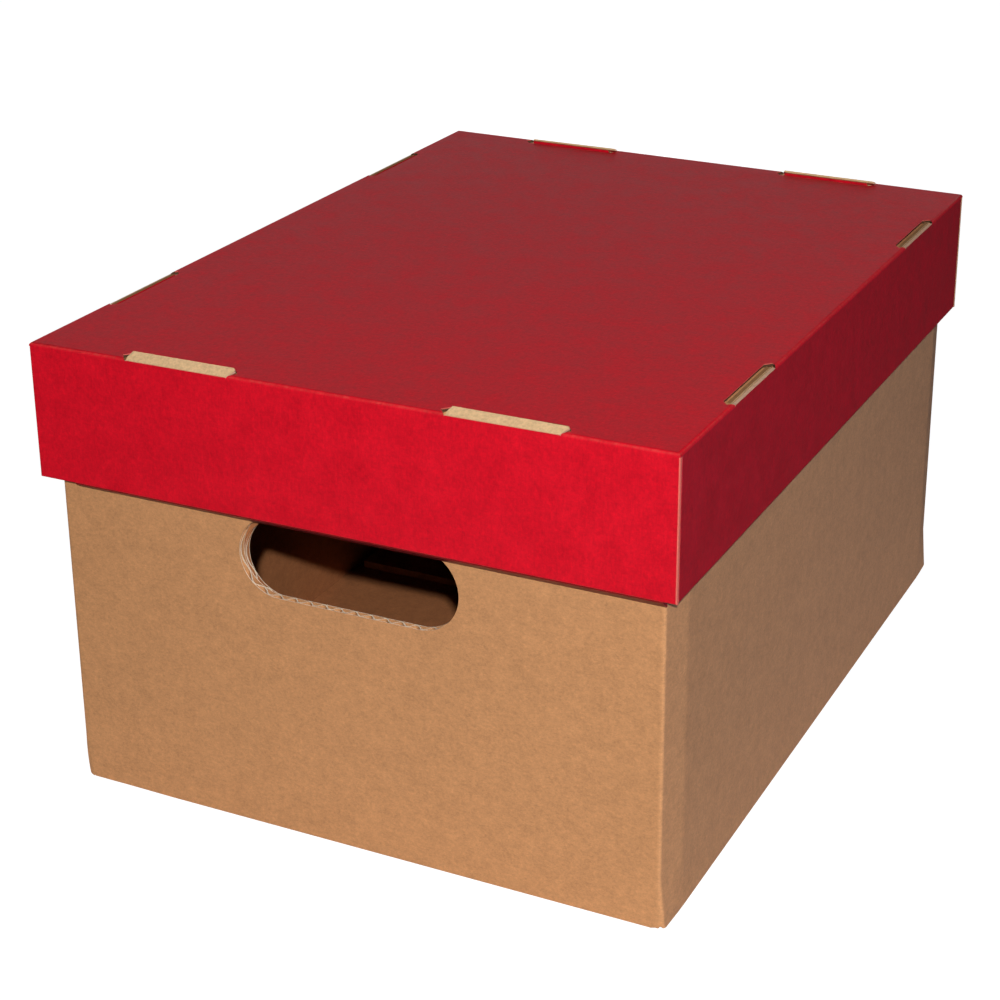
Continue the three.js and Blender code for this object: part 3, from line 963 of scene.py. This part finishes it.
class STORAGEBOX_OT_rims(Operator):
    """Rolled rim between the outer and the inner walls of the body"""

    bl_idname = "storage_box.rims"
    bl_label = "Rims"

    def execute(self, context):
        body = context.scene.storage_box_body
        radius, width = body.rim_radius, INNER_DEPTH + BODY_BOARD
        angles = steps(0, math.pi / 2, FOLD_STEPS)
        outer = [(radius * (1 - math.cos(a)), BODY_TOP - radius + radius * math.sin(a)) for a in angles]
        section = outer + [(width - depth, z) for depth, z in reversed(outer)]
        for name, kind, sign in WALLS:
            bm = bmesh.new()
            add_skin(bm, against(BODY_HALVES[kind], kind, sign), steps(*INNER_SPANS[name], RIM_STEPS),
                     lambda along: section)
            finish_body(f"body_{name}_rim_roll", bm, body_materials(kind), f"body_{name}_rim")
        return {"FINISHED"}


# The side flaps of the base: how far the shoulders lie in from the end walls, and the tongue's gap and taper
SHOULDER, TONGUE_GAP, TONGUE_TAPER = 0.0355, 0.0005, 0.001
# The end flaps, from the outer face of the inner walls: where they leave the ground, are level again, and end
FLAP_LEAVES, FLAP_LEVEL, FLAP_REACH = 0.013, 0.029, 0.150


class STORAGEBOX_OT_base(Operator):
    """Four flaps of the base"""

    bl_idname = "storage_box.base"
    bl_label = "Base"

    def execute(self, context):
        body = context.scene.storage_box_body
        for name, sign in SIDES:
            self.side_flap(body, name, sign)
        for name, sign in ENDS:
            self.end_flap(body, name, sign)
        return {"FINISHED"}

    def side_flap(self, body, name, sign):
        hinge = BODY_HALF_WIDTH - body.foot_radius
        seam, end = SIDE_FLAP_LOW.x, SIDE_FLAP_HIGH.y
        shoulder, tongue = BODY_HALF_LENGTH - SHOULDER, END_FLAP_HIGH.x + TONGUE_GAP
        half = [(seam, shoulder), (tongue, shoulder), (tongue + TONGUE_TAPER, end),
                (hinge - STRIP_SLANT * (end - BEND_Y), end), (hinge, BEND_Y)]
        outline = [(sign * x, y) for x, y in half] + [(sign * x, -y) for x, y in reversed(half)]
        bm = bmesh.new()
        loft(bm, [[(x, y, z) for x, y in outline] for z in (0.0, BODY_BOARD)])
        finish_body(f"base_{name}_flap_board", bm, body_materials("side", inside=True), f"base_{name}_flap")

    def end_flap(self, body, name, sign):
        """A flap that steps up from the ground onto the side flaps."""
        start = BODY_HALF_LENGTH - INNER_DEPTH
        leaves, level = start - FLAP_LEAVES, start - FLAP_LEVEL
        step = END_FLAP_HIGH.z - BODY_BOARD
        lower = [(BODY_HALF_LENGTH - body.foot_radius, 0.0)]
        lower += [(leaves + (level - leaves) * t, step * t * t * (3 - 2 * t)) for t in steps(0, 1, 8)]
        lower += [(start - FLAP_REACH, step)]
        section = lower + [(y, z + BODY_BOARD) for y, z in reversed(lower)]
        bm = bmesh.new()
        loft(bm, [[(x, sign * y, z) for y, z in section] for x in steps(END_FLAP_LOW.x, END_FLAP_HIGH.x, 4)])
        finish_body(f"base_{name}_flap_board", bm, body_materials("end", inside=True), f"base_{name}_flap")


# Lid

# How far the worn ends of the walls reach, where the hems start in from the lid's face, the radius of their
# roll, their gap to the inner walls, and the chamfer of the corner flaps
WORN_REACH, HEM_START, HEM_TURN, HEM_GAP, FLAP_CHAMFER = 0.0011, 0.0008, 0.0006, 0.0001, 0.006
# The roll at a hem's lower edge: shares of its radius back from the inner face, and up
HEM_ROLL = ((1.0, 0.0), (0.35, 0.1), (0.0, 0.7))
# An end tab's bulging face: shares of half a notch's length, and of the way up the face
TAB_FACE_SHARES = ((-0.86, 0.0), (0.86, 0.0), (0.975, 0.7), (0.94, 1.0), (-0.82, 1.0), (-0.87, 0.35))


def notch_middles(lid, kind):
    """Where the two notches along an edge of the lid's top have their middles."""
    half = LID_HALF_WIDTH if kind == "end" else LID_HALF_LENGTH
    inset = lid.end_notch_inset if kind == "end" else lid.side_notch_inset
    return inset - half, half - inset


def notch_length(lid, kind):
    return lid.end_notch_length if kind == "end" else lid.side_notch_length


def notch_points(lid, kind, centre, widen=0.0):
    """One notch: distance along the lid's edge, and distance in from it."""
    length, deep = notch_length(lid, kind), lid.notch_depth if kind == "end" else lid.side_notch_depth
    shoulder = length / 2 - lid.notch_bevel
    tip, inner, point = length / 2 + widen, shoulder + widen / 2, deep * lid.notch_tip_share
    return [(centre - shoulder, 0.0), (centre - tip, point), (centre - inner, deep + widen),
            (centre + inner, deep + widen), (centre + tip, point), (centre + shoulder, 0.0)]


def lip_points(lid, kind, centre):
    """The paper lip round a notch, which starts where the fold has become flat."""
    share = lid.fold_radius / notch_points(lid, kind, centre)[1][1]
    gap = lid.lip_thickness / 20

    def side(widen):
        points = notch_points(lid, kind, centre, widen)
        left = points[0][0] + (points[1][0] - points[0][0]) * share
        right = points[5][0] + (points[4][0] - points[5][0]) * share
        return [(left, lid.fold_radius), *points[1:5], (right, lid.fold_radius)]

    return side(0.0) + side(lid.lip_reach - gap)[::-1]


def lid_outline(lid):
    """Outline of the lid's top, with the notches as wide as its recessed core leaves them."""
    edges = {}
    for kind, half in (("end", LID_HALF_WIDTH), ("side", LID_HALF_LENGTH)):
        edges[kind] = [(-half, 0.0)]
        for middle in notch_middles(lid, kind):
            edges[kind] += notch_points(lid, kind, middle, lid.lip_reach)
    outline = [(a, d - LID_HALF_LENGTH) for a, d in edges["end"]]
    outline += [(LID_HALF_WIDTH - d, a) for a, d in edges["side"]]
    return outline + [(-x, -y) for x, y in outline]


def on_lid_edge(edge):
    """True for an upper edge of the lid's top that is folded over, not cut."""
    first, second = (vert.co for vert in edge.verts)
    if min(first.z, second.z) < LID_TOP - SAME:
        return False
    return any(abs(abs(first[axis]) - half) < SAME and abs(first[axis] - second[axis]) < SAME
               for axis, half in ((0, LID_HALF_WIDTH), (1, LID_HALF_LENGTH)))


class STORAGEBOX_OT_lid_top(Operator):
    """Top of the lid, with eight notches and folds all round"""

    bl_idname = "storage_box.lid_top"
    bl_label = "Lid top"

    def execute(self, context):
        lid = context.scene.storage_box_lid
        outline = lid_outline(lid)
        bm = bmesh.new()
        loft(bm, [[(x, y, z) for x, y in outline] for z in (LID_LOW.z, LID_TOP)])
        bmesh.ops.recalc_face_normals(bm, faces=bm.faces)
        round_off(bm, [edge for edge in bm.edges if on_lid_edge(edge)], lid.fold_radius, FOLD_STEPS)
        for _, kind, sign in WALLS:
            place = against(LID_HALVES[kind], kind, sign)
            for middle in notch_middles(lid, kind):
                lip = lip_points(lid, kind, middle)
                loft(bm, [[place(a, d, z) for a, d in lip] for z in (LID_TOP - lid.lip_thickness, LID_TOP)])
        bmesh.ops.recalc_face_normals(bm, faces=bm.faces)
        bm.normal_update()
        for face in bm.faces:
            face.material_index = self.finish_of(lid, face)
        finish_lid("lid_top_board", bm, lid_materials(), "lid_top")
        return {"FINISHED"}

    def finish_of(self, lid, face):
        """Printed above and round the folds, bare below, worn on the lips, and painted dark in the notches as
        the open flutes' shade.
        """
        if face.normal.z < -LOOKS:
            return BARE
        middle = face.calc_center_median()
        outside = max(abs(middle.x) / LID_HALF_WIDTH, abs(middle.y) / LID_HALF_LENGTH)
        if face.normal.z > LEANS or outside > AT_RIM:
            return PRINTED
        # Below the lips, the notch walls get the open flutes' painted shade.
        return WORN if middle.z > LID_TOP - lid.lip_thickness else CORE_SHADE


def comb_outline(left, right, low, high, teeth, chamfer=0.0, relief=0.0, reach=0.0):
    """A strip whose upper edge has teeth: each a middle, a half length and a top.

    Beside each tooth the edge is cut lower by the relief, as far as its reach."""
    points = [(left, low), (right, low), (right, high)]
    for middle, half, top in reversed(teeth):
        tooth = [(half + reach, high), (half + reach, high - relief), (half, high - relief),
                 (half, top - chamfer), (half - chamfer, top)]
        points += [(middle + a, z) for a, z in tooth] + [(middle - a, z) for a, z in reversed(tooth)]
    return points + [(left, high)]


def comb_board(outline, near, far, place):
    """The board of a comb outline between two depths, as a bmesh."""
    bm = bmesh.new()
    seen = []
    for point in outline:
        if not seen or (Vector(point) - Vector(seen[-1])).length > HAIR:
            seen.append(point)
    loft(bm, [[place(a, depth, z) for a, z in seen] for depth in (near, far)])
    bmesh.ops.recalc_face_normals(bm, faces=bm.faces)
    return bm


def round_off(bm, edges, radius, count):
    bmesh.ops.bevel(bm, geom=edges, offset=radius, segments=count, profile=0.5, affect="EDGES")


class STORAGEBOX_OT_lid_walls(Operator):
    """Outer walls of the lid, whose cut edges show in the notches"""

    bl_idname = "storage_box.lid_walls"
    bl_label = "Lid walls"

    def execute(self, context):
        lid = context.scene.storage_box_lid
        for name, kind, sign in WALLS:
            half = LID_HALF_WIDTH if kind == "end" else LID_SIDE_HIGH.y
            tooth = notch_length(lid, kind) / 2 - lid.notch_bevel
            teeth = [(middle, tooth, LID_TOP - lid.edge_sink) for middle in notch_middles(lid, kind)]
            outline = comb_outline(-half, half, LID_BOTTOM, LID_LOW.z, teeth)
            bm = comb_board(outline, 0.0, LID_BOARD, against(LID_HALVES[kind], kind, sign))
            self.round_folds(bm, lid, kind, half)
            self.dress(bm, kind, sign, half)
            finish_lid(f"lid_{name}_wall_board", bm, lid_materials(side=kind == "side"), f"lid_{name}_wall")
        return {"FINISHED"}

    def round_folds(self, bm, lid, kind, half):
        """Rounds the lower crease and the upright edges of the outer face."""
        along, across = RUN_AXIS[kind], 1 - RUN_AXIS[kind]
        folds = []
        for edge in bm.edges:
            first, second = (vert.co for vert in edge.verts)
            if min(abs(first[across]), abs(second[across])) < LID_HALVES[kind] - SAME:
                continue
            low = max(first.z, second.z) < LID_BOTTOM + SAME
            at_end = min(abs(first[along]), abs(second[along])) > half - SAME
            if low or (at_end and abs(first[along] - second[along]) < SAME):
                folds.append(edge)
        round_off(bm, folds, lid.corner_radius, CORNER_STEPS)

    def dress(self, bm, kind, sign, half):
        """Printed outside, bare inside, worn at the ends and cut along the other edges."""
        along, across = RUN_AXIS[kind], 1 - RUN_AXIS[kind]
        bm.normal_update()
        for face in bm.faces:
            facing = face.normal[across] * sign
            at_end = abs(face.calc_center_median()[along]) > half - WORN_REACH
            if at_end and abs(face.normal[along]) > TURNED:
                face.material_index = WORN if kind == "end" else PRINTED
            elif facing > LEANS:
                face.material_index = PRINTED
            elif facing < -LOOKS:
                face.material_index = BARE
            else:
                face.material_index = CUT if face.normal.z > -LOOKS else PRINTED


class STORAGEBOX_OT_lid_inner_walls(Operator):
    """Inner walls of the lid with their locking tabs, and the hems below them"""

    bl_idname = "storage_box.lid_inner_walls"
    bl_label = "Lid inner walls"

    def execute(self, context):
        lid = context.scene.storage_box_lid
        for name, kind, sign in WALLS:
            low, high = LID_INNER[name]
            along, depth = RUN_AXIS[kind], LID_INNER_DEPTHS[kind]
            span, middles = (low[along], high[along]), notch_middles(lid, kind)
            place = against(LID_HALVES[kind], kind, sign)
            top = high.z - (lid.back_tab_sink if name == "back" else 0)
            if kind == "end":
                teeth = [(middle + lid.end_tab_shift, lid.end_tab_length / 2, top - lid.tab_face)
                         for middle in middles]
                drops = (lid.hem_drop_left, lid.hem_drop_right if name == "front" else lid.hem_drop_left)
            else:
                teeth = [(middle - lid.side_tab_shift, lid.side_tab_length / 2, top) for middle in middles]
                drops = (lid.side_hem_drop, lid.side_hem_drop)
            outline = comb_outline(*span, low.z, LID_LOW.z, teeth, lid.tab_chamfer, lid.relief_depth,
                                   lid.relief_reach)
            bm = comb_board(outline, depth, depth + LID_BOARD, place)
            self.dress(bm, 1 - along, sign)
            for middle in middles if kind == "end" else ():
                self.tab_face(bm, lid, place, middle, depth, top)
            finish_lid(f"lid_{name}_inner_board", bm, lid_materials(), f"lid_{name}_inner_wall")
            self.hem(lid, name, place, span, drops, depth + LID_BOARD, low.z)
        return {"FINISHED"}

    def dress(self, bm, across, sign):
        """Bare towards the outer wall, printed towards the lid's inside, dark brown along the edges."""
        bm.normal_update()
        for face in bm.faces:
            facing = face.normal[across] * sign
            face.material_index = BARE if facing > LOOKS else PRINTED if facing < -LOOKS else TAB

    def tab_face(self, bm, lid, place, middle, depth, top):
        """The face of an end tab, which bulges out over the outer wall's cut edge."""
        foot = (lid.tab_chamfer / 2, LID_TOP - lid.edge_sink + lid.lip_thickness / 4)
        head = (depth + lid.tab_chamfer / 2, top)
        way = Vector((head[0] - foot[0], head[1] - foot[1])).normalized() * lid.tab_face
        half = lid.end_notch_length / 2
        rings = []
        for under in (0.0, 1.0):
            rings.append([place(middle + half * along,
                                foot[0] + (head[0] - foot[0]) * up + way.y * under,
                                foot[1] + (head[1] - foot[1]) * up - way.x * under)
                          for along, up in TAB_FACE_SHARES])
        before = set(bm.faces)
        loft(bm, rings, CUT)
        added = [face for face in bm.faces if face not in before]
        bmesh.ops.recalc_face_normals(bm, faces=added)
        bm.normal_update()
        for face in added:
            if abs(face.normal.z) > LOOKS:
                face.material_index = BARE if face.normal.z > 0 else PRINTED

    def hem(self, lid, name, place, span, drops, stack, wall_low):
        """A strip that slants from the outer wall's lower crease down to the inner wall's."""
        rings = []
        for share in steps(0, 1, HEM_STEPS):
            along = span[0] + (span[1] - span[0]) * share
            drop = drops[0] + (drops[1] - drops[0]) * share
            start = LID_BOTTOM - drop * HEM_START / stack
            fold = LID_BOTTOM - drop * (stack - HEM_TURN) / stack
            roll = [(stack - HEM_TURN * back, fold + HEM_TURN * up) for back, up in HEM_ROLL]
            section = [(HEM_START, start), *roll, (stack, wall_low - HEM_GAP),
                       (stack - LID_BOARD, wall_low - HEM_GAP), (HEM_START, start + LID_BOARD)]
            rings.append([place(along, depth, z) for depth, z in section])
        bm = bmesh.new()
        loft(bm, rings)
        # The hem gets a dark copy of the print: painted shade under the outer wall's lower edge.
        dark = material_named("lid_printed_hem", printed_board, lid.hem_shade_red, lid.hem_shade_red, 0.0)
        finish_lid(f"lid_{name}_hem_fold", bm, [dark], f"lid_{name}_hem")


class STORAGEBOX_OT_corner_flaps(Operator):
    """Four corner flaps, folded from the lid's side walls into its end walls"""

    bl_idname = "storage_box.corner_flaps"
    bl_label = "Lid corner flaps"

    def execute(self, context):
        for name in [f"lid_{end}_{side}_corner_flap" for end, _ in ENDS for side, _ in SIDES]:
            low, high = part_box(name)
            right = "right" in name
            free, hinge = (low.x, high.x) if right else (high.x, low.x)
            inward = FLAP_CHAMFER if right else -FLAP_CHAMFER
            outline = [(hinge, low.z), (hinge, high.z), (free + inward, high.z),
                       (free, high.z - FLAP_CHAMFER), (free, low.z + FLAP_CHAMFER), (free + inward, low.z)]
            bm = bmesh.new()
            loft(bm, [[(x, y, z) for x, z in outline] for y in (low.y, high.y)])
            finish_lid(f"{name}_board", bm, [lid_materials()[BARE]], name)
        return {"FINISHED"}


# Stage

# Places of the lamps that the panel leaves alone
FILL_LEFT, FILL_BACK = (-1.45, 0.10, 0.12), (-0.55, 1.50, 0.05)
SOFT_ABOVE, SKY_RIGHT = (-0.30, 0.85, 1.35), (0.85, 0.10, 0.07)
# The floor's half width, how grey it is as seen, and how strongly it glows near the box and away from it
FLOOR_HALF, FLOOR_SEEN, FLOOR_GLOW = 6.0, 0.30, (0.90, 1.0)
# The mirrored background fades between these heights and these places across, as parts of a direction
FADE_UP, FADE_ACROSS = (0.10, 0.40), (-0.15, 0.25)


class STORAGEBOX_OT_stage(Operator):
    """Floor, lights and the camera"""

    bl_idname = "storage_box.stage"
    bl_label = "Stage"

    def execute(self, context):
        stage = context.scene.storage_box_stage
        context.scene.view_settings.view_transform = "Standard"
        self.camera(stage)
        middle, low = (0.0, 0.0, LID_BOTTOM), (0.0, 0.0, BODY_TOP / 2)
        size, power = stage.fill_size, stage.fill_power
        self.light("key", stage.key_place, middle, stage.key_size, stage.key_power)
        self.light("fill_left", FILL_LEFT, low, size, power)
        self.light("fill_back", FILL_BACK, low, size, power)
        self.light("soft_above", SOFT_ABOVE, middle, 3 * size, stage.soft_power)
        self.light("sky_right", SKY_RIGHT, low, size / 2, stage.sky_power, stage.sky_colour)
        self.floor(stage)
        self.world(stage)
        return {"FINISHED"}

    def camera(self, stage):
        data = bpy.data.cameras.new("camera")
        data.sensor_width = 36.0
        data.lens = stage.lens
        data.shift_x, data.shift_y = stage.shift
        data.dof.use_dof = False
        camera = bpy.data.objects.new("camera", data)
        camera.location = stage.camera_place
        camera.rotation_euler = stage.camera_turn
        bpy.context.scene.collection.objects.link(camera)
        bpy.context.scene.camera = camera

    def light(self, name, place, target, size, power, colour=(1.0, 1.0, 1.0)):
        data = bpy.data.lights.new(name, "AREA")
        data.energy = power
        data.color = colour
        data.shape = "DISK"
        data.size = size
        light = bpy.data.objects.new(name, data)
        light.location = place
        light.rotation_euler = (Vector(target) - light.location).to_track_quat("-Z", "Y").to_euler()
        light.visible_camera = False
        light.visible_glossy = name != "soft_above"
        bpy.context.scene.collection.objects.link(light)

    def floor(self, stage):
        """A sheet that is pale as seen, darker as a mirror image, and throws light back near the box."""
        mesh = bpy.data.meshes.new("floor")
        corners = [(FLOOR_HALF * x, FLOOR_HALF * y, 0) for x, y in ((-1, -1), (1, -1), (1, 1), (-1, 1))]
        mesh.from_pydata(corners, [], [(0, 1, 2, 3)])
        floor = bpy.data.objects.new("floor", mesh)
        bpy.context.scene.collection.objects.link(floor)
        material = bpy.data.materials.new("floor_paper")
        material.use_nodes = True
        nodes = Nodes(material)
        nodes.made.clear()
        output = nodes.add("ShaderNodeOutputMaterial")
        away = self.from_box(nodes)
        bounce = nodes.add("ShaderNodeBsdfDiffuse")
        falling = nodes.span(away, stage.floor_reach / 3, stage.floor_reach, 0.0, 1.0)
        paper = nodes.mix(falling, grey(stage.floor_white), grey(stage.floor_grey))
        nodes.link(paper, bounce.inputs["Color"])
        mirrored = nodes.add("ShaderNodeEmission")
        mirrored.inputs["Strength"].default_value = stage.floor_sheen
        seen = nodes.add("ShaderNodeBsdfDiffuse")
        seen.inputs["Color"].default_value = grey(FLOOR_SEEN)
        glow = nodes.add("ShaderNodeEmission")
        strength = nodes.span(away, stage.floor_reach, 6 * stage.floor_reach, *FLOOR_GLOW)
        nodes.link(strength, glow.inputs["Strength"])
        both = nodes.join("ShaderNodeAddShader", seen, glow)
        path = nodes.add("ShaderNodeLightPath")
        shine = nodes.join("ShaderNodeMixShader", bounce, mirrored, path.outputs["Is Glossy Ray"])
        whole = nodes.join("ShaderNodeMixShader", shine, both, nodes.direct_view(path))
        nodes.link(whole.outputs[0], output.inputs["Surface"])
        floor.data.materials.append(material)

    def from_box(self, nodes):
        """Distance along the floor from the box's outline."""
        last = nodes.add("ShaderNodeTexCoord").outputs["Object"]
        for operation, value in (("ABSOLUTE", None), ("SUBTRACT", (BODY_HALF_WIDTH, BODY_HALF_LENGTH, 0.0)),
                                 ("MAXIMUM", (0.0, 0.0, 0.0)), ("LENGTH", None)):
            node = nodes.add("ShaderNodeVectorMath", operation=operation)
            nodes.link(last, node.inputs[0])
            if value:
                node.inputs[1].default_value = value
            last = node.outputs["Value" if operation == "LENGTH" else "Vector"]
        return last

    def world(self, stage):
        """White as seen, faint as light, and a low band on the left where glossy faces mirror it."""
        world = bpy.data.worlds.new("surroundings")
        bpy.context.scene.world = world
        world.use_nodes = True
        nodes = Nodes(world)
        nodes.made.clear()
        output = nodes.add("ShaderNodeOutputWorld")
        back = nodes.add("ShaderNodeBackground")
        path = nodes.add("ShaderNodeLightPath")
        parts = nodes.add("ShaderNodeSeparateXYZ")
        nodes.link(nodes.add("ShaderNodeTexCoord").outputs["Generated"], parts.inputs[0])
        falling = nodes.span(parts.outputs[2], *FADE_UP, stage.sheen, 0.0)
        behind = nodes.math("MULTIPLY", falling, nodes.span(parts.outputs[0], *FADE_ACROSS, 1.0, 0.0))
        shine = nodes.math("MULTIPLY", path.outputs["Is Glossy Ray"], behind)
        level = nodes.math("MAXIMUM", nodes.math("MAXIMUM", nodes.direct_view(path), shine), stage.ambient)
        nodes.link(level, back.inputs["Strength"])
        nodes.link(back.outputs[0], output.inputs["Surface"])
        back.inputs["Color"].default_value = grey(1.0)


class STORAGEBOX_PT_panel(Panel):
    """Lists the steps that build the box"""

    bl_idname = "STORAGEBOX_PT_panel"
    bl_label = "Storage box"
    bl_space_type = "VIEW_3D"
    bl_region_type = "UI"
    bl_category = "Storage box"

    def draw(self, context):
        for operator in OPERATORS:
            self.layout.operator(operator.bl_idname)


OPERATORS = (
    STORAGEBOX_OT_end_walls,
    STORAGEBOX_OT_side_walls,
    STORAGEBOX_OT_inner_walls,
    STORAGEBOX_OT_rims,
    STORAGEBOX_OT_base,
    STORAGEBOX_OT_lid_top,
    STORAGEBOX_OT_lid_walls,
    STORAGEBOX_OT_lid_inner_walls,
    STORAGEBOX_OT_corner_flaps,
    STORAGEBOX_OT_stage,
)
SETTINGS = (
    ("storage_box_body", StorageBoxBody),
    ("storage_box_lid", StorageBoxLid),
    ("storage_box_stage", StorageBoxStage),
)


def register():
    for name, group in SETTINGS:
        bpy.utils.register_class(group)
        setattr(bpy.types.Scene, name, PointerProperty(type=group))
    for operator in OPERATORS:
        bpy.utils.register_class(operator)
    bpy.utils.register_class(STORAGEBOX_PT_panel)


def unregister():
    bpy.utils.unregister_class(STORAGEBOX_PT_panel)
    for operator in reversed(OPERATORS):
        bpy.utils.unregister_class(operator)
    for name, group in reversed(SETTINGS):
        delattr(bpy.types.Scene, name)
        bpy.utils.unregister_class(group)


def main():
    register()
    for operator in OPERATORS:
        group, name = operator.bl_idname.split(".")
        getattr(getattr(bpy.ops, group), name)()


if __name__ == "__main__":
    main()
